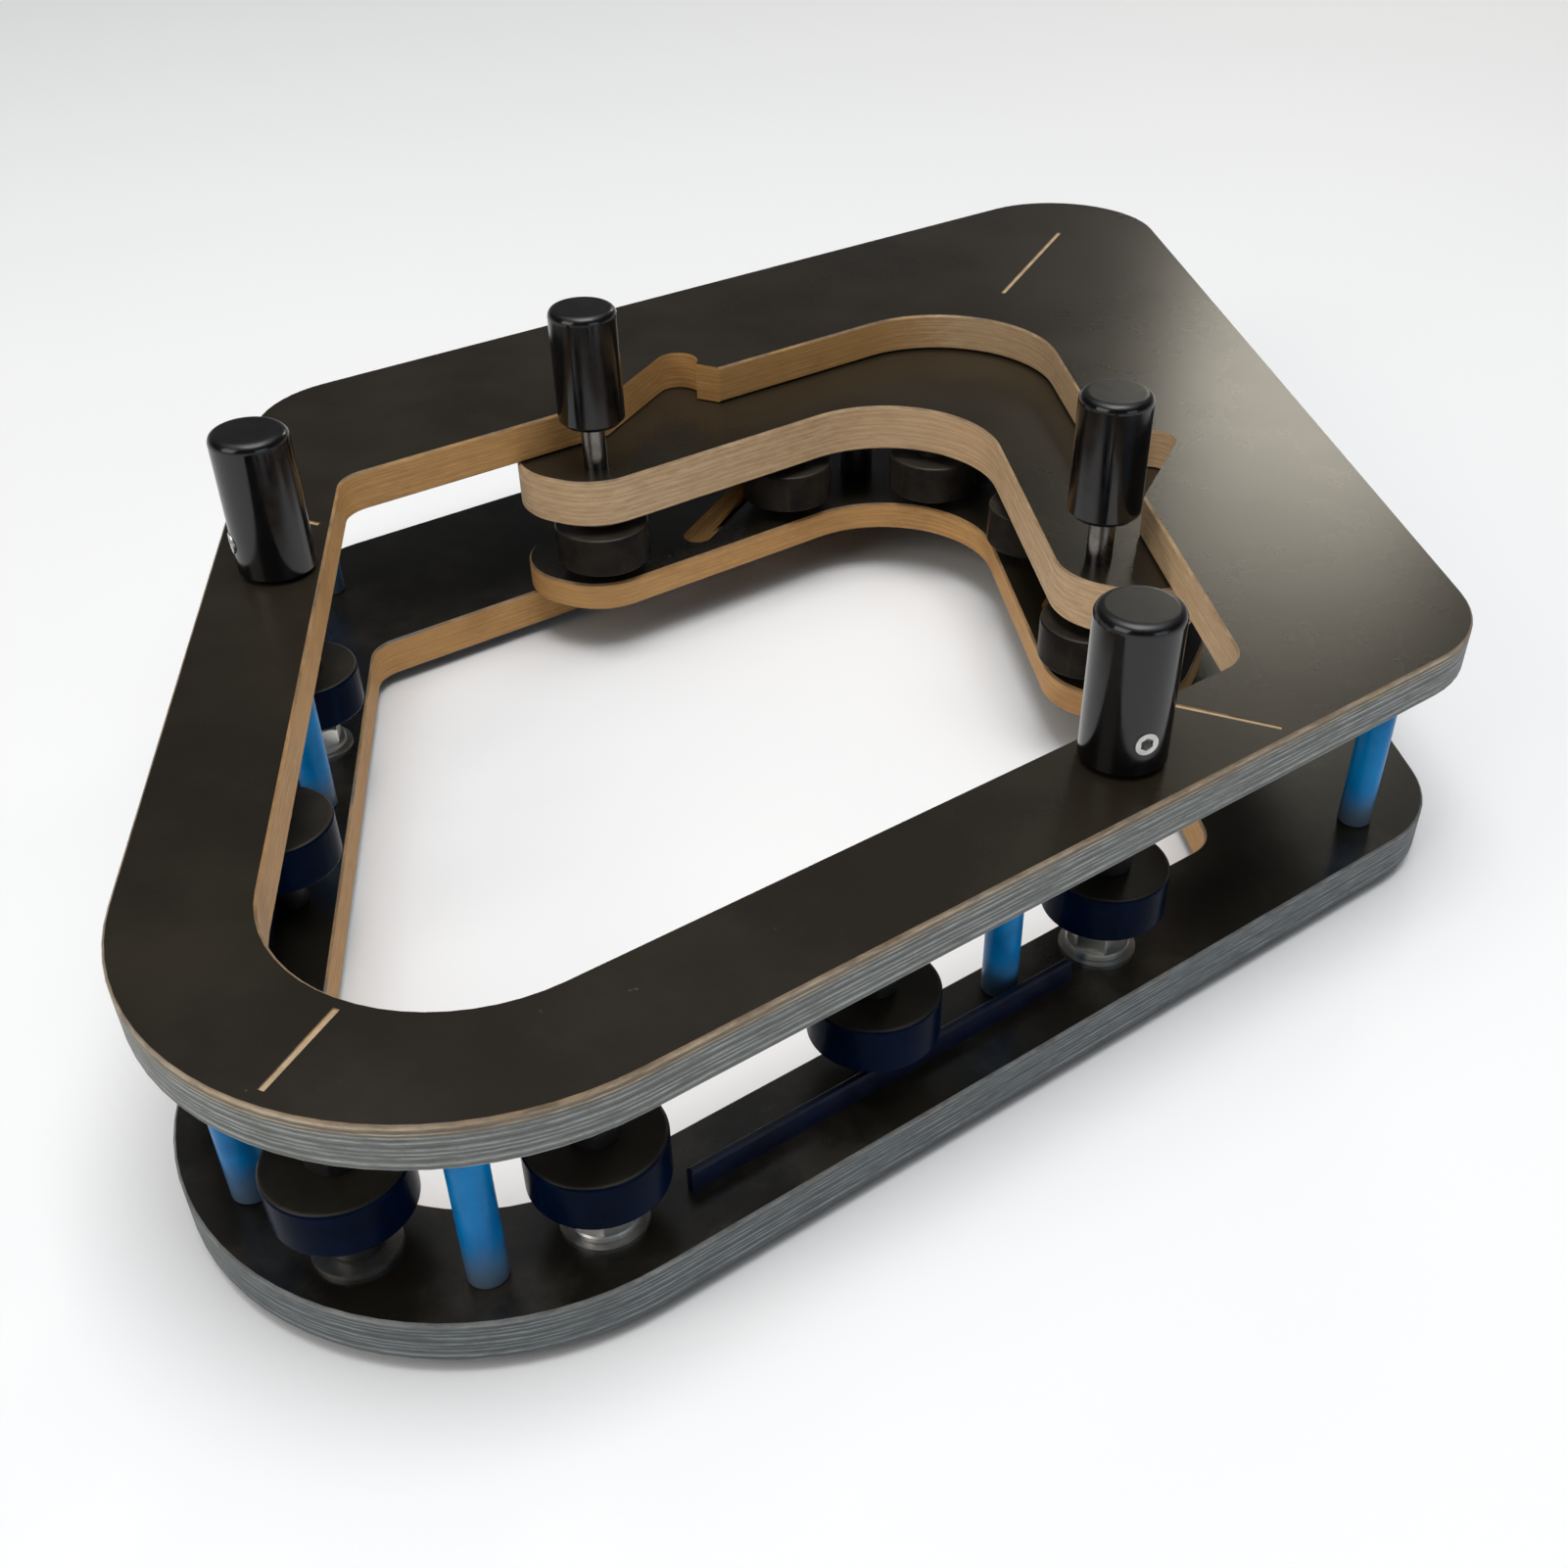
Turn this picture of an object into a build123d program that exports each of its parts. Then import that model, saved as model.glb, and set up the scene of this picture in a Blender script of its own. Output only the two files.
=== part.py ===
from build123d import *
import math
import os

os.makedirs("parts", exist_ok=True)

# Driving dimensions, in millimetres. +Z up, X across, +Y towards the rear point of the kite.
BALL_D = 57.15          # pool ball the rack is made for
BALL_Y = -65.25         # y of the middle ball of the nine; the origin is the centre of the outline
FRONT_C = 104.6         # middle ball to the front sides of the outline, square to the side
REAR_C = 156.6          # the same to the rear sides
FRONT_R = 56.5          # outline corner radii
SIDE_R = 29.0
REAR_R = 30.0
OPEN_FRONT_C = 80.8     # middle ball to the front sides of the opening
OPEN_REAR_C = 102.5     # the same to its rear sides
OPEN_FRONT_R = 33.0
OPEN_SIDE_R = 9.0
OPEN_REAR_R = 30.5

FOOT_H = 3.0
PLATE_T = 9.5
GAP = 36.0
BASE_Z = FOOT_H
FLOOR_Z = BASE_Z + PLATE_T
CEIL_Z = FLOOR_Z + GAP
TOP_Z = CEIL_Z + PLATE_T
EDGE_BREAK = 0.5

TRAVEL = 46.0           # how far the pusher slides back from the balls
ROLLER_R = 12.0
ROLLER_Z = 23.5
ROLLER_H = 10.0
ROLLER_GAP = 0.3        # end float above and below each roller
RUN_FIT = 0.05          # radial running clearance
AXLE_R = 2.5
CLEAR = 0.1             # radial clearance of screws and bolts in their holes
HEAD_R = 3.8
HEAD_H = 3.6
BORE_R = 4.1            # counterbore for a screw head
BORE_D = 4.0
SOCKET_R = 1.7

STANDOFF_R = 3.5
STUD_R = 2.0
STUD_IN = 6.0
SHAFT_R = 3.0

PUSH_T = 12.0
PUSH_LIFT = 0.3         # gap between the pusher and the plate above or below it
PUSH_BASE_T = 7.4
PUSH_C = 80.3           # middle ball to the pusher's V
PUSH_OUT_C = 122.0      # the same to its outer sides
PUSH_OUT_X = 88.0       # its straight flanks
EAR_R = 16.0
EAR_X = 64.6            # ear roller and shaft, sideways from the middle ball
POST_R = 3.5            # guide posts on the bottom plate
POST_FIT = 0.35         # side clearance of a post in its slot

KNOB_R = 8.2
FIXED_KNOB_H = 31.0
MOVING_KNOB_H = 28.0
MOVING_KNOB_Z = 60.0
KNOB_CAP = 8.0          # solid top of a knob above its bore
SET_SCREW_R = 2.2
SET_SCREW_UP = 7.8
FIXED_TURN = {"left": -130.0, "right": -50.0}   # where each set screw points, from +X
MOVING_TURN = {"left": 130.0, "right": 50.0}
MARK_W = 1.2
MARK_D = 0.3

S30, C30 = 0.5, math.sqrt(3) / 2
ROW = BALL_D / 2 * math.sqrt(3)                       # distance between rows of balls
ROLLER_C = BALL_D * C30 + BALL_D / 2 + ROLLER_R       # middle ball to the line of side rollers
EAR_Y = (ROLLER_C - C30 * EAR_X) / S30
RAIL_C = (FRONT_C + OPEN_FRONT_C) / 2


def front_xy(c, s, side=1):
    """Point on a front side: c square to the side, s along it towards the rear."""
    return (side * (C30 * c + S30 * s), BALL_Y - S30 * c + C30 * s)


def rear_xy(c, s, side=1):
    """Point on a rear side: c square to the side, s along it towards the rear point."""
    return (side * (C30 * c - S30 * s), BALL_Y + S30 * c + C30 * s)


def rounded_face(points, radii):
    """Flat face from a polygon whose corners are rounded, each by its own radius."""
    corners = []
    count = len(points)
    for i in range(count):
        p = Vector(*points[i])
        a = (Vector(*points[i - 1]) - p).normalized()
        b = (Vector(*points[(i + 1) % count]) - p).normalized()
        half = math.acos(max(-1, min(1, a.dot(b)))) / 2
        cut = radii[i] / math.tan(half)
        mid = (a + b).normalized()
        reach = radii[i] / math.sin(half) - radii[i]
        corners.append((p + a * cut, p + mid * reach, p + b * cut))
    edges = []
    for i in range(count):
        start, middle, end = corners[i]
        edges.append(ThreePointArc(start, middle, end))
        edges.append(Line(end, corners[(i + 1) % count][0]))
    return make_face(edges)


def kite(front_c, rear_c, radii):
    """Kite with 30-degree half angles around the ball pattern."""
    x = (front_c + rear_c) / (2 * C30)
    y = (rear_c - front_c) / (2 * S30)
    pts = [(0, BALL_Y - front_c / S30), (x, BALL_Y + y), (0, BALL_Y + rear_c / S30), (-x, BALL_Y + y)]
    return rounded_face(pts, radii)


def disc(r, h, z, xy=(0, 0)):
    return Pos(xy[0], xy[1], z) * Cylinder(r, h, align=(Align.CENTER, Align.CENTER, Align.MIN))


def ring(r, bore, h, z, xy):
    return disc(r, h, z, xy) - disc(bore, h, z, xy)


def hexagon(across_flats, h, z, xy):
    return Pos(xy[0], xy[1], z) * extrude(RegularPolygon(across_flats / 2, 6, major_radius=False), h)


def nut_body(across_flats, h, z, xy):
    """Hexagon with its corners turned off above and below."""
    turned = disc(across_flats / math.sqrt(3) - 0.1, h, z, xy)
    turned = chamfer(turned.edges().filter_by(GeomType.CIRCLE), 0.06 * across_flats)
    return hexagon(across_flats, h, z, xy) & turned


def slab(face, z, t):
    return Pos(0, 0, z) * extrude(face, t)


def obround(x0, y0, y1, r, z, t):
    """Slot along Y between the two end centres."""
    body = disc(r, t, z, (x0, y0)) + disc(r, t, z, (x0, y1))
    middle = Box(2 * r, y1 - y0, t, align=(Align.CENTER, Align.CENTER, Align.MIN))
    return body + Pos(x0, (y0 + y1) / 2, z) * middle


def broken_edges(plate, z):
    """Softens the rim of a plate at height z."""
    return chamfer(plate.edges().filter_by(lambda e: abs(e.center().Z - z) < 0.01 and e.length > 6), EDGE_BREAK)


def group(solids):
    return Compound(children=list(solids))


def save(node, shape):
    shape.label = node
    export_step(shape, f"parts/{node}.step")


# Where things stand, seen from above.
SIDES = (("left", -1), ("right", 1))
BALL_S = (-1.5 * BALL_D, -0.5 * BALL_D, 0.5 * BALL_D)
FRONT_ROLLER = (0, BALL_Y - 2 * ROW - BALL_D / 2 - ROLLER_R)
APEX_ROLLER = (0, BALL_Y + 2 * ROW + BALL_D / 2 + ROLLER_R)
SHOULDER = {side: rear_xy(ROLLER_C, 1.5 * BALL_D, k) for side, k in SIDES}
EAR = {side: (k * EAR_X, BALL_Y + EAR_Y) for side, k in SIDES}
SHORT_AXLES = [FRONT_ROLLER] + [front_xy(ROLLER_C, s, k) for _, k in SIDES for s in BALL_S[:2]]
KNOB_AXLES = {side: front_xy(ROLLER_C, BALL_S[2], k) for side, k in SIDES}
STANDOFFS = {"rear": (0, BALL_Y + 262)}
PAIRS = (("front", 23.1, -136.6), ("middle", 78.2, -39.5), ("corner", 133.0, 42.0), ("side", 59.5, 197.5))
for name, x, y in PAIRS:
    for side, k in SIDES:
        STANDOFFS[f"{name}_{side}"] = (k * x, BALL_Y + y)
STRIP_C0, STRIP_C1 = 92.8, 94.6
STRIP_S0, STRIP_S1 = -71.0, 17.0
STRIP_H = 5.0
GUIDE_POSTS = [(k * 50.0, BALL_Y + 140) for _, k in SIDES]
FEET = [(0, BALL_Y + 232)] + [front_xy(RAIL_C, s, k) for _, k in SIDES for s in (-57.15, 52.0)]
FEET += [rear_xy(130.0, 27.0, k) for _, k in SIDES]
PUSH_SPACERS = [(k * x, BALL_Y + y) for _, k in SIDES for x, y in ((27.0, 150.0), (76.0, 92.0))]
PUSH_SPACERS += [(0, BALL_Y + 178)]


def opening():
    return kite(OPEN_FRONT_C, OPEN_REAR_C, [OPEN_FRONT_R, OPEN_SIDE_R, OPEN_REAR_R, OPEN_SIDE_R])


def bare_plate(z):
    outline = kite(FRONT_C, REAR_C, [FRONT_R, SIDE_R, REAR_R, SIDE_R])
    plate = slab(outline - opening(), z, PLATE_T)
    plate = broken_edges(plate, z)
    return broken_edges(plate, z + PLATE_T)


def mark(x0, y0, x1, y1):
    """Shallow engraved line on top of the top plate."""
    dx, dy = x1 - x0, y1 - y0
    length = math.hypot(dx, dy)
    cut = Box(length, MARK_W, MARK_D, align=(Align.CENTER, Align.CENTER, Align.MAX))
    return Pos((x0 + x1) / 2, (y0 + y1) / 2, TOP_Z) * Rot(0, 0, math.degrees(math.atan2(dy, dx))) * cut


def top_plate():
    plate = bare_plate(CEIL_Z)
    notch_r = SHAFT_R + 2.5
    for _, k in SIDES:
        end_y = BALL_Y + EAR_Y + TRAVEL + 0.5
        plate -= obround(k * EAR_X, BALL_Y + 76, end_y, notch_r, CEIL_Z, PLATE_T)
        step = Box(12, 24, PLATE_T, align=(Align.CENTER, Align.MAX, Align.MIN))
        plate -= Pos(k * (EAR_X - notch_r - 4), end_y, CEIL_Z) * step
    for xy in STANDOFFS.values():
        plate -= disc(STUD_R + CLEAR, STUD_IN, CEIL_Z, xy)
    for xy in KNOB_AXLES.values():
        plate -= disc(SHAFT_R + CLEAR, PLATE_T, CEIL_Z, xy)
    plate -= mark(0, BALL_Y - 149.5, 0, BALL_Y - 131.0)
    plate -= mark(0, BALL_Y + 196, 0, BALL_Y + 253)
    for _, k in SIDES:
        plate -= mark(k * 96.5, BALL_Y, k * 117.5, BALL_Y)
    return plate


def bottom_plate():
    plate = bare_plate(BASE_Z)
    for xy in STANDOFFS.values():
        plate -= disc(STUD_R + CLEAR, PLATE_T, BASE_Z, xy) + disc(BORE_R, BORE_D, BASE_Z, xy)
    for xy in SHORT_AXLES:
        plate -= disc(AXLE_R + CLEAR, PLATE_T, BASE_Z, xy) + disc(BORE_R, BORE_D, BASE_Z, xy)
    for xy in KNOB_AXLES.values():
        plate -= disc(SHAFT_R + CLEAR, PLATE_T, BASE_Z, xy) + disc(BORE_R + 0.8, BORE_D, BASE_Z, xy)
    for xy in GUIDE_POSTS:
        plate -= disc(STUD_R, PLATE_T - 1, BASE_Z + 1, xy)
    return plate


def screw(xy, shank_r, z_head, z_end, head_r=HEAD_R, head_h=HEAD_H, socket_r=SOCKET_R):
    """Socket screw standing head down, its head face at z_head + head_h."""
    body = disc(head_r, head_h, z_head, xy) + disc(shank_r, z_end - z_head, z_head, xy)
    return body - hexagon(2 * socket_r, head_h * 0.55, z_head, xy)


def standoff(xy):
    """Round spacer, threaded for its screw below and its stud above."""
    body = chamfer(disc(STANDOFF_R, GAP, FLOOR_Z, xy).edges().filter_by(GeomType.CIRCLE), 0.4)
    return body - disc(STUD_R, STUD_IN, FLOOR_Z, xy) - disc(STUD_R, STUD_IN, CEIL_Z - STUD_IN, xy)


def standoff_screw(xy):
    return screw(xy, STUD_R, BASE_Z + BORE_D - HEAD_H, FLOOR_Z + STUD_IN)


def standoff_stud(xy):
    return disc(STUD_R, 2 * STUD_IN, CEIL_Z - STUD_IN, xy)


HUB_Z = FLOOR_Z + 1.0
HUB_TOP = ROLLER_Z - ROLLER_GAP
NUT_Z = ROLLER_Z + ROLLER_H + ROLLER_GAP
NUT_H = 4.6
FRONT_HUB_R = 4.7
SIDE_HUB_R = 3.3
HUB_RELIEF = 0.35        # the edge strip is cut back this far around a side hub


def axle_washer(xy, bore=AXLE_R + CLEAR):
    return ring(7.6, bore, HUB_Z - FLOOR_Z, FLOOR_Z, xy)


def steel_hub(xy, bore=AXLE_R + CLEAR):
    """Flanged nut with a collar the roller runs on."""
    body = nut_body(10.0, 5.4, HUB_Z, xy) + disc(4.2, HUB_TOP - HUB_Z, HUB_Z, xy)
    body += chamfer(disc(6.3, 1.4, HUB_Z, xy).edges().filter_by(GeomType.CIRCLE), 0.3)
    return body - disc(bore, HUB_TOP - HUB_Z, HUB_Z, xy)


def round_hub(xy, r, z):
    """Plain black hub under a roller."""
    body = disc(r, HUB_TOP - z, z, xy)
    body = chamfer(body.edges().filter_by(GeomType.CIRCLE), 0.4)
    return body - disc(AXLE_R + CLEAR, HUB_TOP - z, z, xy)


def lock_nut(xy, z=NUT_Z):
    """Hexagon nut with a round collar, on the end of a short axle."""
    body = nut_body(8.0, NUT_H - 1.4, z, xy) + disc(3.5, NUT_H, z, xy)
    return body - disc(AXLE_R, NUT_H, z, xy)


def short_axle(xy):
    return screw(xy, AXLE_R, BASE_Z + BORE_D - HEAD_H, NUT_Z + NUT_H + 0.8)


def knob_axle(xy):
    """Long bolt: bottom plate, roller, spacer, top plate, knob."""
    end = TOP_Z + FIXED_KNOB_H - KNOB_CAP
    return screw(xy, SHAFT_R, BASE_Z + BORE_D - HEAD_H, end, HEAD_R + 0.8, HEAD_H, 2.0)


def knob_spacer(xy):
    return ring(4.6, SHAFT_R + CLEAR, CEIL_Z - NUT_Z, NUT_Z, xy)


def roller(xy, bore):
    """Plain cylindrical roller with rounded rims."""
    body = disc(ROLLER_R, ROLLER_H, ROLLER_Z, xy)
    body = fillet(body.edges().filter_by(GeomType.CIRCLE), 0.8)
    return body - disc(bore, ROLLER_H, ROLLER_Z, xy)


def edge_strip(k):
    corners = [front_xy(STRIP_C0, STRIP_S0, k), front_xy(STRIP_C1, STRIP_S0, k)]
    corners += [front_xy(STRIP_C1, STRIP_S1, k), front_xy(STRIP_C0, STRIP_S1, k)]
    strip = slab(make_face(Polyline(*corners, close=True)), FLOOR_Z, STRIP_H)
    strip = chamfer(strip.edges().filter_by(lambda e: abs(e.center().Z - FLOOR_Z - STRIP_H) < 0.01), 0.4)
    return strip - disc(SIDE_HUB_R + HUB_RELIEF, STRIP_H, FLOOR_Z, front_xy(ROLLER_C, BALL_S[1], k))


def foot(xy):
    body = disc(7.0, FOOT_H, 0, xy)
    return chamfer(body.edges().filter_by(lambda e: e.center().Z < 0.01), 0.5)


def knob(xy, z, h, turn):
    """Cylindrical hand knob with a rounded crown, a blind bore and a set screw hole."""
    body = disc(KNOB_R, h, z, xy)
    body = fillet(body.edges().filter_by(lambda e: abs(e.center().Z - z - h) < 0.01), 2.0)
    body = chamfer(body.edges().filter_by(lambda e: abs(e.center().Z - z) < 0.01), 1.2)
    body -= disc(SHAFT_R, h - KNOB_CAP, z, xy)
    hole = Cylinder(SET_SCREW_R, KNOB_R + 2, align=(Align.CENTER, Align.CENTER, Align.MIN))
    return body - set_screw_axis(xy, z, turn) * hole


def set_screw_axis(xy, z, turn):
    """Placement of a knob's set screw, square to the knob and turned from +X."""
    return Pos(xy[0], xy[1], z + SET_SCREW_UP) * Rot(0, 0, turn) * Rot(0, 90, 0)


def set_screw(xy, z, turn):
    reach = KNOB_R + 0.15 - SHAFT_R
    body = Cylinder(SET_SCREW_R, reach, align=(Align.CENTER, Align.CENTER, Align.MIN))
    key = extrude(RegularPolygon(1.15, 6, major_radius=False), 1.6)
    return set_screw_axis(xy, z, turn) * Pos(0, 0, SHAFT_R) * (body - Pos(0, 0, reach - 1.6) * key)


# The pusher: two plates with rollers between them, sliding as one.
PUSH_TOP_Z = CEIL_Z - PUSH_LIFT
PUSH_Z = PUSH_TOP_Z - PUSH_T
PUSH_BASE_Z = FLOOR_Z + PUSH_LIFT
PUSH_BASE_TOP = PUSH_BASE_Z + PUSH_BASE_T


def pusher_outline():
    tip_y = 57.5
    inner_x = (PUSH_C - S30 * tip_y) / C30
    outer_y = (PUSH_OUT_C - C30 * PUSH_OUT_X) / S30
    half = [(inner_x, tip_y, EAR_R), (PUSH_OUT_X, tip_y, EAR_R), (PUSH_OUT_X, outer_y, 12.0)]
    path = [(0, PUSH_C / S30, 28.6)] + half + [(0, PUSH_OUT_C / S30, 50.0)]
    path += [(-x, y, r) for x, y, r in reversed(half)]
    return rounded_face([(x, BALL_Y + y) for x, y, _ in path], [r for _, _, r in path])


def pusher_top_plate():
    plate = slab(pusher_outline(), PUSH_Z, PUSH_T)
    plate = broken_edges(plate, PUSH_TOP_Z)
    plate = broken_edges(plate, PUSH_Z)
    for xy in EAR.values():
        plate -= disc(SHAFT_R, PUSH_T, PUSH_Z, xy)
    for xy in [APEX_ROLLER] + list(SHOULDER.values()):
        plate -= disc(AXLE_R, PUSH_T - 3, PUSH_Z, xy)
    for xy in PUSH_SPACERS:
        plate -= disc(STUD_R, STUD_IN, PUSH_Z, xy)
    return plate


def pusher_base_plate():
    plate = slab(pusher_outline(), PUSH_BASE_Z, PUSH_BASE_T)
    plate = broken_edges(plate, PUSH_BASE_TOP)
    plate = broken_edges(plate, PUSH_BASE_Z)
    for x, y in GUIDE_POSTS:
        plate -= obround(x, y - TRAVEL - 1, y + 4.5, POST_R + POST_FIT, PUSH_BASE_Z, PUSH_BASE_T)
    for xy in EAR.values():
        plate -= disc(SHAFT_R + CLEAR, PUSH_BASE_T, PUSH_BASE_Z, xy)
        plate -= disc(BORE_R + 0.8, BORE_D, PUSH_BASE_Z, xy)
    for xy in [APEX_ROLLER] + list(SHOULDER.values()):
        plate -= disc(AXLE_R + CLEAR, PUSH_BASE_T, PUSH_BASE_Z, xy) + disc(BORE_R, BORE_D, PUSH_BASE_Z, xy)
    for xy in PUSH_SPACERS:
        plate -= disc(STUD_R + CLEAR, PUSH_BASE_T, PUSH_BASE_Z, xy) + disc(BORE_R, BORE_D, PUSH_BASE_Z, xy)
    return plate


def pusher_spacer(xy):
    return ring(4.5, STUD_R + CLEAR, PUSH_Z - PUSH_BASE_TOP, PUSH_BASE_TOP, xy)


def pusher_screw(xy):
    return screw(xy, STUD_R, PUSH_BASE_Z + BORE_D - HEAD_H, PUSH_Z + STUD_IN)


def pusher_axle(xy):
    return screw(xy, AXLE_R, PUSH_BASE_Z + BORE_D - HEAD_H, PUSH_Z + PUSH_T - 3)


def pusher_shaft(xy):
    """Threaded shaft: base plate, ear roller, pusher plate, moving knob."""
    end = MOVING_KNOB_Z + MOVING_KNOB_H - KNOB_CAP
    return screw(xy, SHAFT_R, PUSH_BASE_Z + BORE_D - HEAD_H, end, HEAD_R + 0.8, HEAD_H, 2.0)


def pusher_washers(xy, bore):
    """Thin washers that centre a roller between the pusher plates."""
    low = ring(5.0, bore, ROLLER_Z - ROLLER_GAP - PUSH_BASE_TOP, PUSH_BASE_TOP, xy)
    return [low, ring(5.0, bore, PUSH_Z - NUT_Z, NUT_Z, xy)]


def guide_post(xy):
    """Shoulder post the pusher base slides along; its head keeps the pusher down."""
    top = PUSH_BASE_TOP + PUSH_LIFT
    body = disc(STUD_R, PLATE_T - 1, BASE_Z + 1, xy) + disc(POST_R, top - FLOOR_Z, FLOOR_Z, xy)
    body += chamfer(disc(5.5, 2.0, top, xy).edges().filter_by(GeomType.CIRCLE), 0.4)
    return body - hexagon(4.0, 1.5, top + 0.5, xy)


# Frame
save("top_plate", top_plate())
save("bottom_plate", bottom_plate())
for name, xy in STANDOFFS.items():
    save(f"standoff_{name}", standoff(xy))
save("standoff_screws", group(standoff_screw(xy) for xy in STANDOFFS.values()))
save("standoff_studs", group(standoff_stud(xy) for xy in STANDOFFS.values()))
save("short_axles", group(short_axle(xy) for xy in SHORT_AXLES))
save("axle_lock_nuts", group(lock_nut(xy) for xy in SHORT_AXLES))
STEEL_HUB_AXLES = [front_xy(ROLLER_C, BALL_S[0], k) for _, k in SIDES]
SIDE_HUB_AXLES = [front_xy(ROLLER_C, BALL_S[1], k) for _, k in SIDES]
washers = [axle_washer(xy) for xy in [FRONT_ROLLER] + STEEL_HUB_AXLES]
washers += [axle_washer(xy, SHAFT_R + CLEAR) for xy in KNOB_AXLES.values()]
save("axle_washers", group(washers))
hubs = [steel_hub(xy) for xy in STEEL_HUB_AXLES]
hubs += [steel_hub(xy, SHAFT_R + CLEAR) for xy in KNOB_AXLES.values()]
save("axle_hubs", group(hubs))
side_hubs = [round_hub(xy, SIDE_HUB_R, FLOOR_Z) for xy in SIDE_HUB_AXLES]
save("round_hubs", group([round_hub(FRONT_ROLLER, FRONT_HUB_R, HUB_Z)] + side_hubs))
save("guide_posts", group(guide_post(xy) for xy in GUIDE_POSTS))
save("knob_spacers", group(knob_spacer(xy) for xy in KNOB_AXLES.values()))
save("feet", group(foot(xy) for xy in FEET))
for side, k in SIDES:
    save(f"knob_axle_{side}", knob_axle(KNOB_AXLES[side]))
    save(f"fixed_knob_{side}", knob(KNOB_AXLES[side], TOP_Z, FIXED_KNOB_H, FIXED_TURN[side]))
    save(f"edge_strip_{side}", edge_strip(k))
fixed_screws = [set_screw(KNOB_AXLES[side], TOP_Z, turn) for side, turn in FIXED_TURN.items()]
save("fixed_knob_set_screws", group(fixed_screws))

# Rollers
save("roller_front", roller(FRONT_ROLLER, AXLE_R + RUN_FIT))
for side, k in SIDES:
    for number, s in enumerate(BALL_S[:2], 1):
        save(f"roller_{side}_{number}", roller(front_xy(ROLLER_C, s, k), AXLE_R + RUN_FIT))
    save(f"roller_{side}_3", roller(KNOB_AXLES[side], SHAFT_R + RUN_FIT))
    save(f"roller_shoulder_{side}", roller(SHOULDER[side], AXLE_R + RUN_FIT))
    save(f"roller_ear_{side}", roller(EAR[side], SHAFT_R + RUN_FIT))
save("roller_apex", roller(APEX_ROLLER, AXLE_R + RUN_FIT))

# Pusher
save("pusher_top_plate", pusher_top_plate())
save("pusher_base_plate", pusher_base_plate())
save("pusher_spacers", group(pusher_spacer(xy) for xy in PUSH_SPACERS))
save("pusher_screws", group(pusher_screw(xy) for xy in PUSH_SPACERS))
save("pusher_axles", group(pusher_axle(xy) for xy in [APEX_ROLLER] + list(SHOULDER.values())))
thin = [w for xy in [APEX_ROLLER] + list(SHOULDER.values()) for w in pusher_washers(xy, AXLE_R + CLEAR)]
thin += [w for xy in EAR.values() for w in pusher_washers(xy, SHAFT_R + CLEAR)]
save("pusher_washers", group(thin))
for side, _ in SIDES:
    save(f"pusher_shaft_{side}", pusher_shaft(EAR[side]))
    save(f"moving_knob_{side}", knob(EAR[side], MOVING_KNOB_Z, MOVING_KNOB_H, MOVING_TURN[side]))
moving_screws = [set_screw(EAR[side], MOVING_KNOB_Z, turn) for side, turn in MOVING_TURN.items()]
save("moving_knob_set_screws", group(moving_screws))
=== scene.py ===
"""Looks, light and camera for the nine-ball racking frame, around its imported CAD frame.

Object coordinates are the CAD frame's, in metres: z up from the table, y towards the long point.
"""
import math

import bpy
from mathutils import Matrix, Vector

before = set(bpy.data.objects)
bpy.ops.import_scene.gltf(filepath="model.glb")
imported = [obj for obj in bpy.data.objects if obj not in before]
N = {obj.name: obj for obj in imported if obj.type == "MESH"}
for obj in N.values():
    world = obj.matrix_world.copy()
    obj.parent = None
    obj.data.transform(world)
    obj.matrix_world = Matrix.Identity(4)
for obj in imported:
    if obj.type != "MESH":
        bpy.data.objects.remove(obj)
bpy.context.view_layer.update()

MM = 1000.0
BALL_Y = -0.06525  # the middle ball, which the outline is drawn around
S30, C30 = 0.5, math.sqrt(3) / 2

# Sorting lines on the rail, in mm from the middle ball, and the plates' levels and thicknesses
FRONT_MID, REAR_MID, NOSE_MID = 92.7, 129.5, 140.6
BOTTOM_Z, TOP_Z, PLATE_T, PLATE_PLIES = 3.0, 48.5, 9.5, 9
PUSHER_Z, PUSHER_T, PUSHER_PLIES = 36.2, 12.0, 9
PUSHER_BASE_Z, PUSHER_BASE_T, PUSHER_BASE_PLIES = 12.8, 7.4, 6
CREAM_DEPTH = (2.6, 1.5)  # where the cream top plies start and are full, below the face
MARK_DEPTH = (0.25, 0.10)  # the same for the engraved marks
EVERYWHERE = -1.0


def srgb(r, g, b):
    """Linear colour from 0..255 display values."""
    out = []
    for v in (r, g, b):
        v /= 255
        out.append(v / 12.92 if v <= 0.04045 else ((v + 0.055) / 1.055) ** 2.4)
    return (*out, 1.0)


FILM = (srgb(32, 27, 19), srgb(42, 37, 28))
# darker film browns for the lower plate: painted shade under the top plate
FILM_PAINTED_SHADE = (srgb(20, 18, 14), srgb(31, 28, 22))
BARE = dict(low=srgb(156, 109, 56), high=srgb(202, 154, 91),
            glue=srgb(112, 71, 34), pale=srgb(226, 188, 128))
# a paler, lit copy of the bare wood: painted light on edges of the opening
BARE_PAINTED_LIGHT = dict(low=srgb(176, 142, 106), high=srgb(214, 183, 142),
                 glue=srgb(124, 98, 72), pale=srgb(236, 214, 178))
RIM_TOP = dict(low=srgb(94, 96, 93), high=srgb(122, 126, 123),
               glue=srgb(60, 61, 59), pale=srgb(170, 172, 166))
RIM_BOTTOM = dict(low=srgb(74, 79, 80), high=srgb(102, 108, 109),
                  glue=srgb(52, 54, 55), pale=srgb(140, 145, 145))
RIM_CREAM = dict(low=srgb(110, 94, 74), high=srgb(144, 126, 102),
                 glue=srgb(72, 58, 45), pale=srgb(202, 184, 152))


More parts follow.
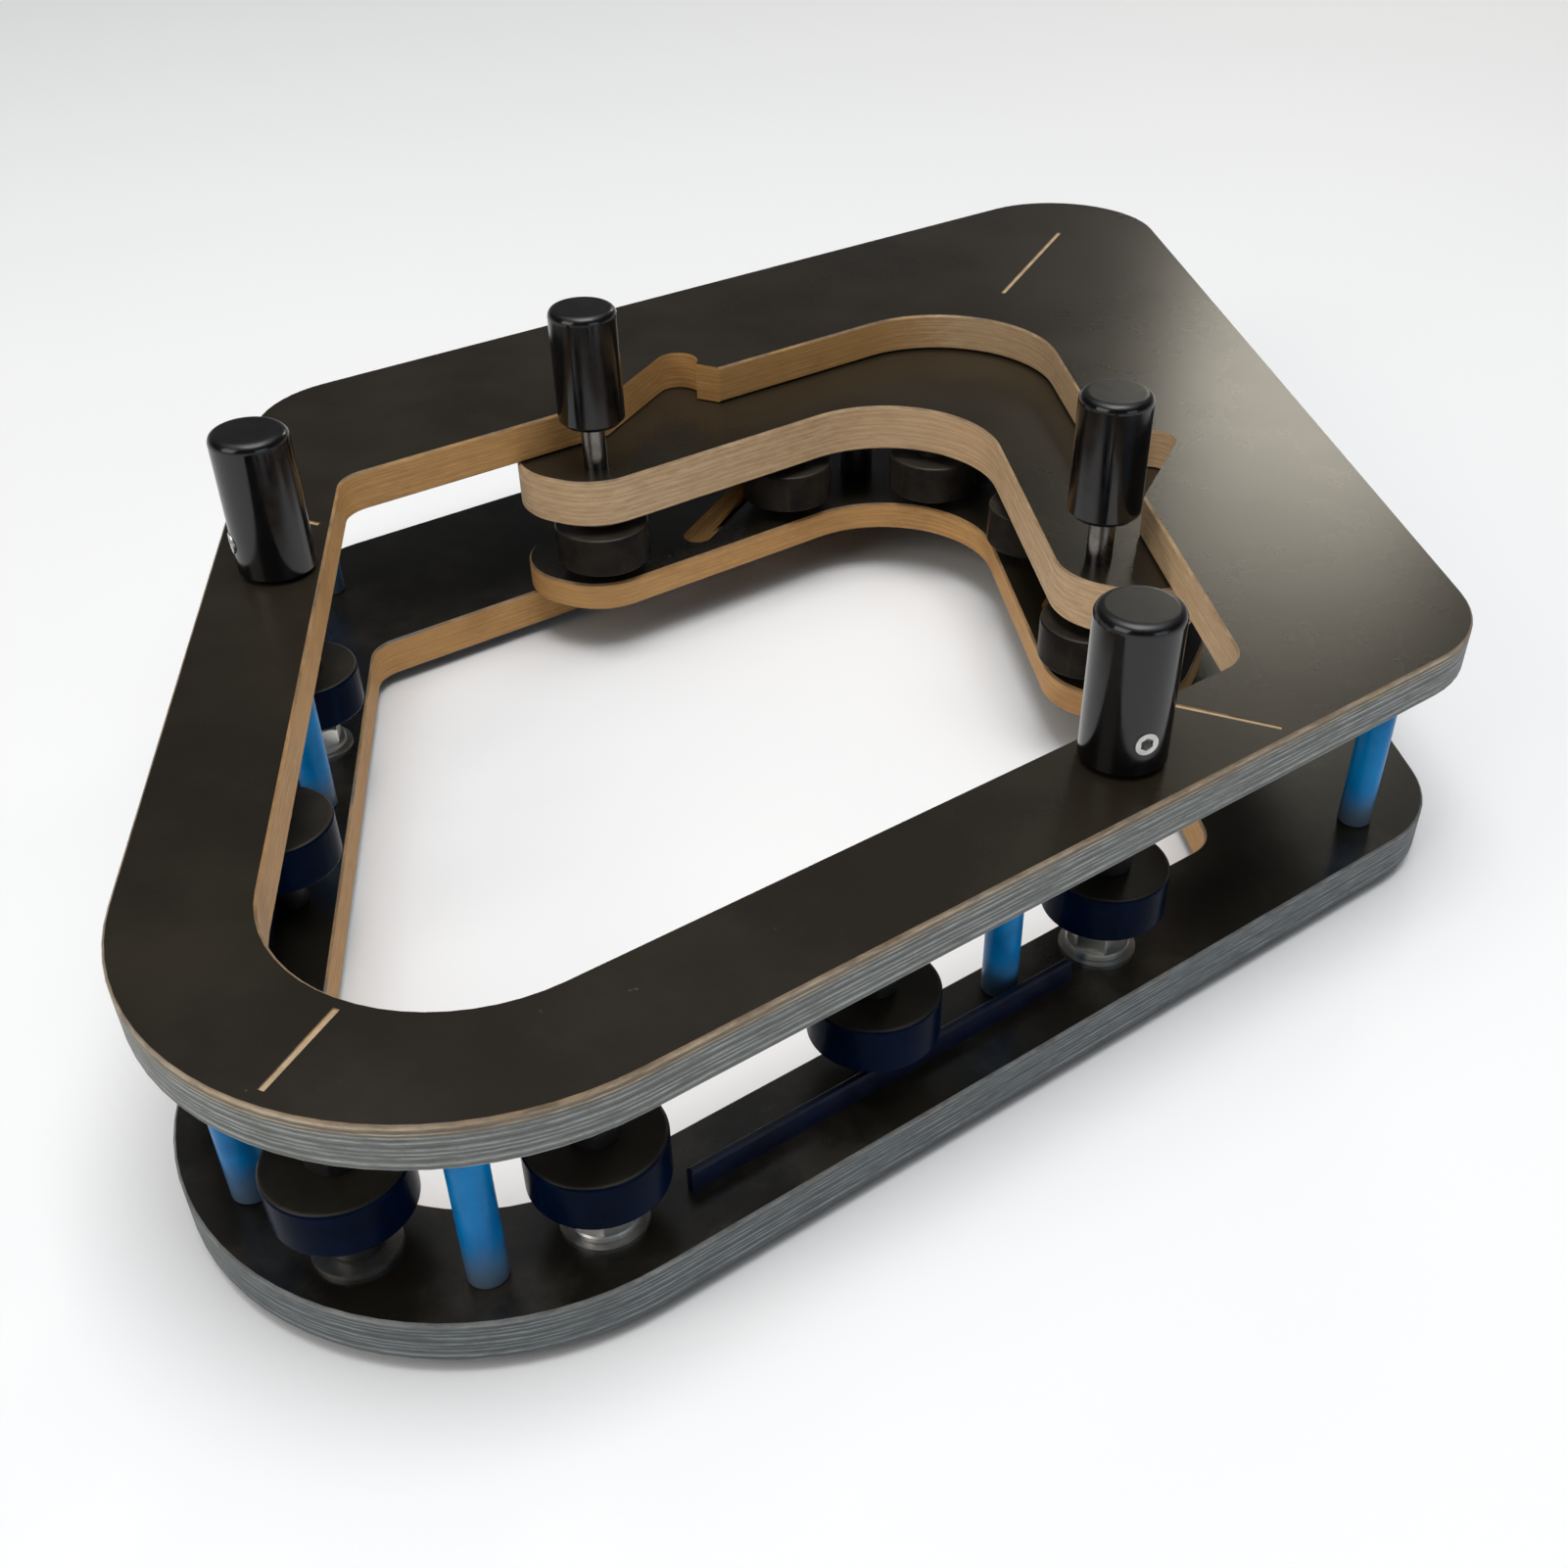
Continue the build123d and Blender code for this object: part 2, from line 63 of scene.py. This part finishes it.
class Mat:
    """A node material with short calls for the nodes it uses."""

    def __init__(self, name, rough):
        self.mat = bpy.data.materials.new(name)
        self.mat.use_nodes = True
        self.tree = self.mat.node_tree
        self.bsdf = self.tree.nodes["Principled BSDF"]
        self.put(self.bsdf, "Roughness", rough)
        self.put(self.bsdf, "Base Color", (0.5, 0.5, 0.5, 1))
        self.mat.diffuse_color = (0.5, 0.5, 0.5, 1)

    def put(self, node, socket, value):
        """Links a socket, or sets a plain value."""
        if isinstance(value, bpy.types.NodeSocket):
            self.tree.links.new(value, node.inputs[socket])
        else:
            node.inputs[socket].default_value = value

    def set(self, socket, value):
        self.put(self.bsdf, socket, value)

    def node(self, kind, **inputs):
        n = self.tree.nodes.new(kind)
        for k, v in inputs.items():
            self.put(n, k, v)
        return n

    def coords(self):
        return self.node("ShaderNodeTexCoord").outputs["Object"]

    def axes(self):
        return self.node("ShaderNodeSeparateXYZ", Vector=self.coords()).outputs

    def upness(self):
        """1 on level faces, 0 on upright ones, negative on faces looking down."""
        geo = self.node("ShaderNodeNewGeometry")
        return self.node("ShaderNodeSeparateXYZ", Vector=geo.outputs["True Normal"]).outputs[2]

    def math(self, op, a, b=0.0):
        n = self.tree.nodes.new("ShaderNodeMath")
        n.operation = op
        self.put(n, 0, a)
        self.put(n, 1, b)
        return n.outputs[0]

    def add(self, a, b):
        return self.math("ADD", a, b)

    def sub(self, a, b):
        return self.math("SUBTRACT", a, b)

    def mul(self, a, b):
        return self.math("MULTIPLY", a, b)

    def absolute(self, a):
        return self.math("ABSOLUTE", a)

    def ramp(self, value, lo, hi, out_lo=0.0, out_hi=1.0):
        n = self.tree.nodes.new("ShaderNodeMapRange")
        n.interpolation_type = "SMOOTHSTEP"
        self.put(n, "Value", value)
        self.put(n, "From Min", lo)
        self.put(n, "From Max", hi)
        self.put(n, "To Min", out_lo)
        self.put(n, "To Max", out_hi)
        return n.outputs["Result"]

    def mix(self, fac, a, b):
        n = self.tree.nodes.new("ShaderNodeMix")
        n.data_type = "RGBA"
        self.put(n, 0, fac)
        self.put(n, 6, a)
        self.put(n, 7, b)
        return n.outputs[2]

    def stretched(self, sz):
        """Coordinates that repeat sz times as fast along z."""
        n = self.tree.nodes.new("ShaderNodeMapping")
        self.put(n, "Vector", self.coords())
        self.put(n, "Scale", (1.0, 1.0, sz))
        return n.outputs["Vector"]

    def noise(self, scale, detail=4.0, rough=0.55, vec=None):
        n = self.tree.nodes.new("ShaderNodeTexNoise")
        self.put(n, "Vector", vec if vec is not None else self.coords())
        self.put(n, "Scale", scale)
        self.put(n, "Detail", detail)
        self.put(n, "Roughness", rough)
        return n.outputs["Fac"]

    def bump(self, height, strength, distance):
        n = self.tree.nodes.new("ShaderNodeBump")
        self.put(n, "Height", height)
        self.put(n, "Strength", strength)
        self.put(n, "Distance", distance)
        self.put(self.bsdf, "Normal", n.outputs["Normal"])

    def edge_wear(self, radius=0.0006):
        """0 on flats, rising on sharp edges."""
        bevel = self.tree.nodes.new("ShaderNodeBevel")
        bevel.samples = 4
        self.put(bevel, "Radius", radius)
        geo = self.node("ShaderNodeNewGeometry")
        dot = self.tree.nodes.new("ShaderNodeVectorMath")
        dot.operation = "DOT_PRODUCT"
        self.tree.links.new(bevel.outputs[0], dot.inputs[0])
        self.tree.links.new(geo.outputs["Normal"], dot.inputs[1])
        return self.ramp(self.sub(1.0, dot.outputs["Value"]), 0.02, 0.25)


# Plywood
def wood(m, tones, streak, pores, ply, lines=1.0):
    """Colour of cut plies: streaky veneer, thin dark glue lines, pale end-grain lines."""
    patchy = m.ramp(m.noise(75.0, 4.0, 0.65), 0.30, 0.62, 0.25, 1.0)
    frac = m.math("FRACT", ply)
    odd = m.math("GREATER_THAN", m.math("FRACT", m.mul(ply, 0.5)), 0.5)
    c = m.mix(m.ramp(streak, 0.32, 0.68), tones["low"], tones["high"])
    c = m.mix(m.mul(odd, 0.22), c, tones["low"])
    pale = m.ramp(m.absolute(m.sub(frac, 0.62)), 0.05, 0.20, 1.0, 0.0)
    pale = m.mul(pale, m.ramp(streak, 0.30, 0.62, 0.2, 0.95 * lines))
    c = m.mix(m.mul(pale, patchy), c, tones["pale"])
    glue = m.ramp(m.absolute(m.sub(frac, 0.10)), 0.04, 0.16, 0.75 * lines, 0.0)
    c = m.mix(m.mul(glue, patchy), c, tones["glue"])
    return m.mix(m.mul(m.ramp(pores, 0.58, 0.72), 0.30), c, tones["glue"])


def film_face(m, tones, broad, dusty):
    """Colour of the phenolic film: two browns, pale specks, patches of dust, smudges."""
    film = m.mix(m.ramp(broad, 0.35, 0.7), *tones)
    speck = m.ramp(m.noise(2300.0, 2.0, 0.5), 0.72, 0.80)
    film = m.mix(m.mul(speck, 0.22), film, srgb(98, 92, 80))
    dust = m.ramp(m.noise(420.0, 2.0, 0.5), 0.74, 0.80)
    dust = m.mul(dust, m.ramp(m.noise(31.0, 2.0, 0.5), 0.5, 0.7))
    film = m.mix(m.mul(dust, 0.22), film, srgb(120, 114, 104))
    if dusty:
        smudge = m.mul(m.ramp(m.noise(34.0, 6.0, 0.7), 0.46, 0.68), dusty)
        film = m.mix(smudge, film, srgb(86, 80, 71))
    return film


def outwardness(m, x, y):
    """How far out on the rail a point is: positive at the rim, negative at the opening."""
    ax = m.mul(m.absolute(x), MM * C30)
    yb = m.mul(m.sub(y, BALL_Y), MM)
    yh = m.mul(yb, S30)
    front = m.sub(m.sub(ax, yh), FRONT_MID)
    rear = m.sub(m.add(ax, yh), REAR_MID)
    nose = m.sub(m.mul(yb, -1.0), NOSE_MID)
    return m.math("MAXIMUM", m.math("MAXIMUM", front, rear), nose)


def film_ply(name, z0, thick, plies, tones=FILM, rim=None, rim_face=0.0, dusty=0.0,
             painted_light_from=None):
    """Film-faced birch plywood lying flat: film on both faces, plies on the edges.

    z0 and thick are in mm. tones are the film's two browns, rim gives the stain of the outer
    edge, rim_face how much of its top plies stay cream, dusty how much the film is smudged.
    The edge of the opening is always bare; from a given x (m, the last argument) on, it is drawn
    in paler wood as painted light.
    """
    m = Mat(name, rough=0.42)
    x, y, z = m.axes()
    nz = m.absolute(m.upness())
    level = m.sub(m.mul(z, MM), z0)
    fine = m.noise(900.0, 3.0, 0.6)
    broad = m.noise(22.0, 5.0, 0.6)
    film = film_face(m, tones, broad, dusty)

    # plies along the edge, with a little wander
    wander = m.mul(m.sub(m.noise(45.0, 3.0, 0.5), 0.5), 0.45)
    uneven = m.mul(m.math("SINE", m.mul(level, 1.7)), 0.24)
    ply = m.math("DIVIDE", m.add(m.add(level, wander), uneven), thick / plies)
    streak = m.noise(150.0, 6.0, 0.7, m.stretched(6.0))
    pores = m.noise(1300.0, 3.0, 0.65)
    cloud = m.ramp(m.noise(38.0, 4.0, 0.6), 0.35, 0.7)
    edge = m.mix(m.ramp(cloud, 0.0, 1.0, 0.45, 0.8),
                 wood(m, BARE, streak, pores, ply, 0.7), srgb(190, 143, 83))
    edge = m.mix(m.ramp(m.noise(24.0, 2.0, 0.5), 0.58, 0.72, 0.0, 0.45), edge, srgb(130, 88, 44))
    # painted light: from the given x on, the opening's edge takes the paler, lit copy of the
    # bare wood
    if painted_light_from is not None:
        pale = m.mix(m.ramp(cloud, 0.0, 1.0, 0.3, 0.7),
                     wood(m, BARE_PAINTED_LIGHT, streak, pores, ply, 0.5), srgb(190, 158, 119))
        edge = m.mix(m.ramp(x, painted_light_from, painted_light_from + 0.03), edge, pale)
    if rim:
        stained = wood(m, rim, streak, pores, ply)
        if rim_face:
            cream = m.ramp(m.add(level, m.mul(wander, 1.5)),
                           thick - CREAM_DEPTH[0], thick - CREAM_DEPTH[1])
            cream = m.mul(cream, m.ramp(m.noise(16.0, 3.0, 0.6), 0.35, 0.65, 0.35, rim_face))
            stained = m.mix(cream, stained, wood(m, RIM_CREAM, streak, pores, ply))
        edge = m.mix(m.ramp(outwardness(m, x, y), -0.5, 0.5), edge, stained)

    # the film's cut line at the arris shows bare wood
    flat = m.ramp(nz, 0.85, 0.95)
    arris = m.mul(m.ramp(nz, 0.3, 0.5), m.sub(1.0, flat))
    stained_only = rim and not rim_face
    arris_low = srgb(84, 80, 74) if stained_only else srgb(96, 76, 55)
    arris_high = srgb(128, 126, 120) if stained_only else srgb(142, 118, 90)
    worn = m.mix(m.ramp(streak, 0.3, 0.7), arris_low, arris_high)
    edge = m.mix(m.mul(arris, m.ramp(cloud, 0.2, 0.9, 0.45, 0.95)), edge, worn)
    color = m.mix(flat, edge, film)

    # engraved marks and other sunk faces are bare wood
    sunk = m.ramp(level, thick - MARK_DEPTH[0], thick - MARK_DEPTH[1], 1.0, 0.0)
    sunk = m.mul(m.mul(sunk, m.ramp(level, 0.1, 0.25)), flat)
    mark = m.mix(m.ramp(streak, 0.3, 0.7), srgb(164, 140, 108), srgb(192, 168, 134))
    m.set("Base Color", m.mix(sunk, color, mark))

    # bare wood is rougher and has a grain
    timber = m.math("MAXIMUM", sunk, m.sub(1.0, flat))
    m.set("Roughness", m.add(m.mul(timber, 0.34), m.ramp(broad, 0.3, 0.7, 0.268, 0.290)))
    m.bump(m.add(m.mul(fine, 0.3), m.mul(m.mul(streak, timber), 1.2)), 0.22, 0.00011)
    return m.mat


# Plastics, metals and rubber
def black_gloss():
    """Polished knobs, a little duller on the crown and on worn edges."""
    m = Mat("black_gloss", rough=0.16)
    haze = m.noise(55.0, 4.0, 0.6)
    m.set("Base Color", m.mix(m.ramp(haze, 0.3, 0.7), srgb(8, 8, 9), srgb(17, 16, 16)))
    wear = m.mul(m.edge_wear(0.0005), 0.12)
    crown = m.ramp(m.upness(), 0.5, 0.95, 0.0, 0.22)
    sheen = m.add(m.ramp(m.noise(240.0, 3.0), 0.35, 0.7, 0.12, 0.20), wear)
    m.set("Roughness", m.add(sheen, crown))
    m.bump(m.noise(1300.0, 2.0), 0.06, 0.00005)
    return m.mat


def black_plastic(name, lo, hi, rough, wear=0.35):
    """Moulded satin plastic with fine texture and paler edges."""
    m = Mat(name, rough=rough)
    c = m.mix(m.ramp(m.noise(70.0, 4.0, 0.6), 0.3, 0.7), lo, hi)
    c = m.mix(m.mul(m.edge_wear(), wear), c, srgb(84, 80, 74))
    m.set("Base Color", c)
    m.set("Roughness", m.ramp(m.noise(300.0, 3.0), 0.3, 0.7, rough - 0.06, rough + 0.08))
    m.bump(m.noise(2200.0, 2.0, 0.6), 0.18, 0.00008)
    return m.mat


def roller_plastic(name, lo, hi, worn):
    """Turned black rollers, polished running surface; the end faces are drawn brown-grey as
    painted reflection of the plates.
    """
    m = Mat(name, rough=0.3)
    end = m.ramp(m.absolute(m.upness()), 0.5, 0.9)
    cloud = m.ramp(m.noise(80.0, 4.0, 0.6), 0.3, 0.7)
    side = m.mix(cloud, lo, hi)
    scuff = m.noise(240.0, 4.0, 0.6, m.stretched(0.12))
    side = m.mix(m.mul(m.ramp(scuff, 0.55, 0.75), 0.30), side, worn)
    # painted reflection: the end faces take brown-grey, the plates' film as seen mirrored in
    # them
    c = m.mix(end, side, m.mix(cloud, srgb(36, 32, 26), srgb(52, 47, 39)))
    m.set("Base Color", m.mix(m.mul(m.edge_wear(), 0.3), c, srgb(96, 96, 98)))
    m.set("Specular IOR Level", m.ramp(end, 0.0, 1.0, 0.02, 0.36))
    m.set("Roughness", m.ramp(end, 0.0, 1.0, 0.24, 0.46))
    m.bump(m.noise(1700.0, 2.0, 0.6), 0.12, 0.00006)
    return m.mat


def blue_spacer():
    """Bright blue spacers, turning grey towards their feet on the lower plate."""
    m = Mat("blue_spacer", rough=0.28)
    z = m.axes()[2]
    cloud = m.noise(90.0, 4.0, 0.6)
    c = m.mix(m.ramp(cloud, 0.3, 0.7), srgb(0, 102, 162), srgb(2, 130, 196))
    c = m.mix(m.mul(m.edge_wear(), 0.4), c, srgb(96, 160, 196))
    level = m.add(m.mul(z, MM), m.mul(m.sub(cloud, 0.5), 5.0))
    # grey at the foot, fading out by about 24 mm above the table
    foot = m.ramp(level, 14.0, 24.0, 1.0, 0.0)
    m.set("Base Color", m.mix(m.mul(foot, 0.85), c, srgb(84, 88, 88)))
    m.set("Specular IOR Level", 0.14)
    m.bump(m.noise(1200.0, 2.0), 0.08, 0.00006)
    return m.mat


def steel(name, dark, light, rough):
    """Plain bright metal, slightly uneven in tone and polish."""
    m = Mat(name, rough=rough)
    m.set("Metallic", 1.0)
    m.set("Base Color", m.mix(m.ramp(m.noise(160.0, 5.0, 0.65), 0.3, 0.7), dark, light))
    m.set("Roughness", m.ramp(m.noise(500.0, 3.0), 0.3, 0.7, rough - 0.04, rough + 0.04))
    m.bump(m.noise(900.0, 3.0), 0.10, 0.00004)
    return m.mat


def rubber():
    """Dull black feet."""
    m = Mat("rubber", rough=0.8)
    tone = m.ramp(m.noise(200.0, 4.0), 0.3, 0.7)
    m.set("Base Color", m.mix(tone, srgb(20, 20, 21), srgb(38, 37, 36)))
    m.bump(m.noise(2600.0, 3.0), 0.35, 0.0001)
    return m.mat


# Which piece gets which material
def paint(nodes, mat):
    for name in nodes:
        o = N[name]
        o.data.materials.clear()
        o.data.materials.append(mat)


ZINC = steel("zinc_steel", srgb(186, 186, 184), srgb(212, 211, 206), 0.36)
SHAFT_STEEL = steel("shaft_steel", srgb(96, 94, 92), srgb(124, 121, 117), 0.24)
SATIN = black_plastic("black_satin", srgb(12, 12, 14), srgb(24, 24, 26), 0.42)
# edge strip: black plastic tinted navy as painted reflection of blue surroundings
STRIP_PAINTED_BLUE = black_plastic("strip_painted_blue_reflection", srgb(3, 12, 36), srgb(8, 22, 54), 0.40, 0.12)
BLACK_STEEL = black_plastic("black_steel", srgb(20, 20, 21), srgb(38, 37, 36), 0.34)
# frame rollers' sides tinted navy and darkened: painted reflection of blue surroundings and
# painted shade
ROLLER_PAINTED_REFLECTIONS = roller_plastic("roller_painted_reflections", srgb(1, 10, 27), srgb(3, 17, 42), srgb(11, 32, 62))
ROLLER_BLACK = roller_plastic("roller_black", srgb(26, 24, 22), srgb(44, 40, 35),
                              srgb(66, 61, 54))

SCREWED = ("standoff_screws", "standoff_studs")
PUSH_ROLLERS = ("roller_apex", "roller_shoulder_left", "roller_shoulder_right",
                "roller_ear_left", "roller_ear_right")
STEEL_PIECES = (*SCREWED, "short_axles", "axle_washers", "axle_hubs", "knob_axle_left",
                "knob_axle_right", "pusher_screws", "pusher_axles", "fixed_knob_set_screws",
                "moving_knob_set_screws")

# painted light on the top plate's opening edge from x = -0.03 m on
paint(["top_plate"], film_ply("film_ply_top", TOP_Z, PLATE_T, PLATE_PLIES,
                              rim=RIM_TOP, rim_face=0.9, painted_light_from=-0.03))
# the lower plate's darker film is painted shade; its smudges are dust
paint(["bottom_plate"], film_ply("film_ply_bottom", BOTTOM_Z, PLATE_T, PLATE_PLIES,
                                 FILM_PAINTED_SHADE, RIM_BOTTOM, dusty=0.3))
# painted light on all of the pusher plate's bare edges
paint(["pusher_top_plate"], film_ply("film_ply_pusher", PUSHER_Z, PUSHER_T, PUSHER_PLIES,
                                     painted_light_from=EVERYWHERE))
paint(["pusher_base_plate"], film_ply("film_ply_pusher_base", PUSHER_BASE_Z, PUSHER_BASE_T,
                                      PUSHER_BASE_PLIES))
paint([n for n in N if n.startswith("standoff_") and n not in SCREWED], blue_spacer())
paint([n for n in N if "_knob_" in n and "screws" not in n], black_gloss())
paint([n for n in N if n.startswith("roller_") and n not in PUSH_ROLLERS], ROLLER_PAINTED_REFLECTIONS)
paint(PUSH_ROLLERS, ROLLER_BLACK)
# the strips' navy tint is painted reflection
paint([n for n in N if n.startswith("edge_strip")], STRIP_PAINTED_BLUE)
paint(["round_hubs", "knob_spacers", "pusher_spacers"], SATIN)
paint(["axle_lock_nuts", "guide_posts", "pusher_washers"], BLACK_STEEL)
paint(["feet"], rubber())
paint(STEEL_PIECES, ZINC)
paint(["pusher_shaft_left", "pusher_shaft_right"], SHAFT_STEEL)

SMOOTH_DEGREES = 32
for o in N.values():
    for p in o.data.polygons:
        p.use_smooth = True
    o.data.set_sharp_from_angle(angle=math.radians(SMOOTH_DEGREES))


# Floor, light and camera
def floor():
    """Pale paper, level with the feet."""
    bpy.ops.mesh.primitive_plane_add(size=12, location=(0, 0, 0))
    o = bpy.context.object
    o.name = "floor"
    m = Mat("floor_paper", rough=0.75)
    m.set("Base Color", m.mix(m.noise(3.0, 3.0), srgb(246, 246, 246), srgb(251, 251, 251)))
    o.data.materials.append(m.mat)


def area_light(name, at, target, size_x, size_y, watts, color=(1, 1, 1)):
    """A rectangle at one point, facing another."""
    data = bpy.data.lights.new(name, "AREA")
    data.shape = "RECTANGLE"
    data.size, data.size_y = size_x, size_y
    data.energy = watts
    data.color = color
    o = bpy.data.objects.new(name, data)
    bpy.context.scene.collection.objects.link(o)
    o.location = at
    o.rotation_mode = "QUATERNION"
    o.rotation_quaternion = (Vector(target) - Vector(at)).to_track_quat("-Z", "Y")


def studio():
    """White surroundings, bright at the horizon and overhead and dim in between."""
    world = bpy.data.worlds.new("studio")
    world.use_nodes = True
    tree = world.node_tree
    back = tree.nodes["Background"]
    back.inputs[0].default_value = (0.95, 0.97, 1.0, 1)
    coord = tree.nodes.new("ShaderNodeTexCoord")
    split = tree.nodes.new("ShaderNodeSeparateXYZ")
    tree.links.new(coord.outputs["Generated"], split.inputs[0])
    total = tree.nodes.new("ShaderNodeMath")
    horizon = {"From Min": 0.04, "From Max": 0.24, "To Min": 0.50, "To Max": 0.05}
    overhead = {"From Min": 0.66, "From Max": 0.95, "To Min": 0.0, "To Max": 0.95}
    for i, values in enumerate((horizon, overhead)):
        band = tree.nodes.new("ShaderNodeMapRange")
        band.interpolation_type = "SMOOTHSTEP"
        for socket, value in values.items():
            band.inputs[socket].default_value = value
        tree.links.new(split.outputs["Z"], band.inputs["Value"])
        tree.links.new(band.outputs["Result"], total.inputs[i])
    tree.links.new(total.outputs[0], back.inputs[1])
    bpy.context.scene.world = world


def lights():
    """A warm window behind the long point for the sheen, and three broad soft boxes."""
    area_light("window", (-0.035, 1.45, 0.63), (0.10, 0.04, 0.06), 0.29, 0.21, 1.40,
               (1.0, 0.94, 0.79))
    area_light("top", (0.1, -0.1, 1.5), (0, 0, 0), 0.9, 0.9, 13)
    area_light("front", (-0.75, -1.45, 0.9), (0, 0, 0), 1.1, 1.1, 9, (1.0, 0.96, 0.9))
    area_light("right", (1.5, -0.7, 0.55), (0, 0, 0.03), 0.9, 0.7, 2.5, (0.72, 0.86, 1.0))


def camera():
    """The photograph's view, from in front and to the right, looking down."""
    data = bpy.data.cameras.new("photo_view")
    data.sensor_width = 36
    data.lens = 38.61
    data.shift_x, data.shift_y = -0.0317, 0.0852
    data.clip_start, data.clip_end = 0.01, 30
    cam = bpy.data.objects.new("photo_view", data)
    bpy.context.scene.collection.objects.link(cam)
    right = Vector((0.92538768, 0.37901738, 0.00186039))
    up = Vector((-0.24475074, 0.59380751, 0.76647878))
    back = Vector((0.28940407, -0.70974536, 0.64226694))
    turn = Matrix((right, up, back)).transposed().to_4x4()
    cam.matrix_world = Matrix.Translation((0.13951, -0.33975, 0.23165)) @ turn
    bpy.context.scene.camera = cam


floor()
studio()
lights()
camera()
bpy.context.scene.view_settings.view_transform = "Standard"
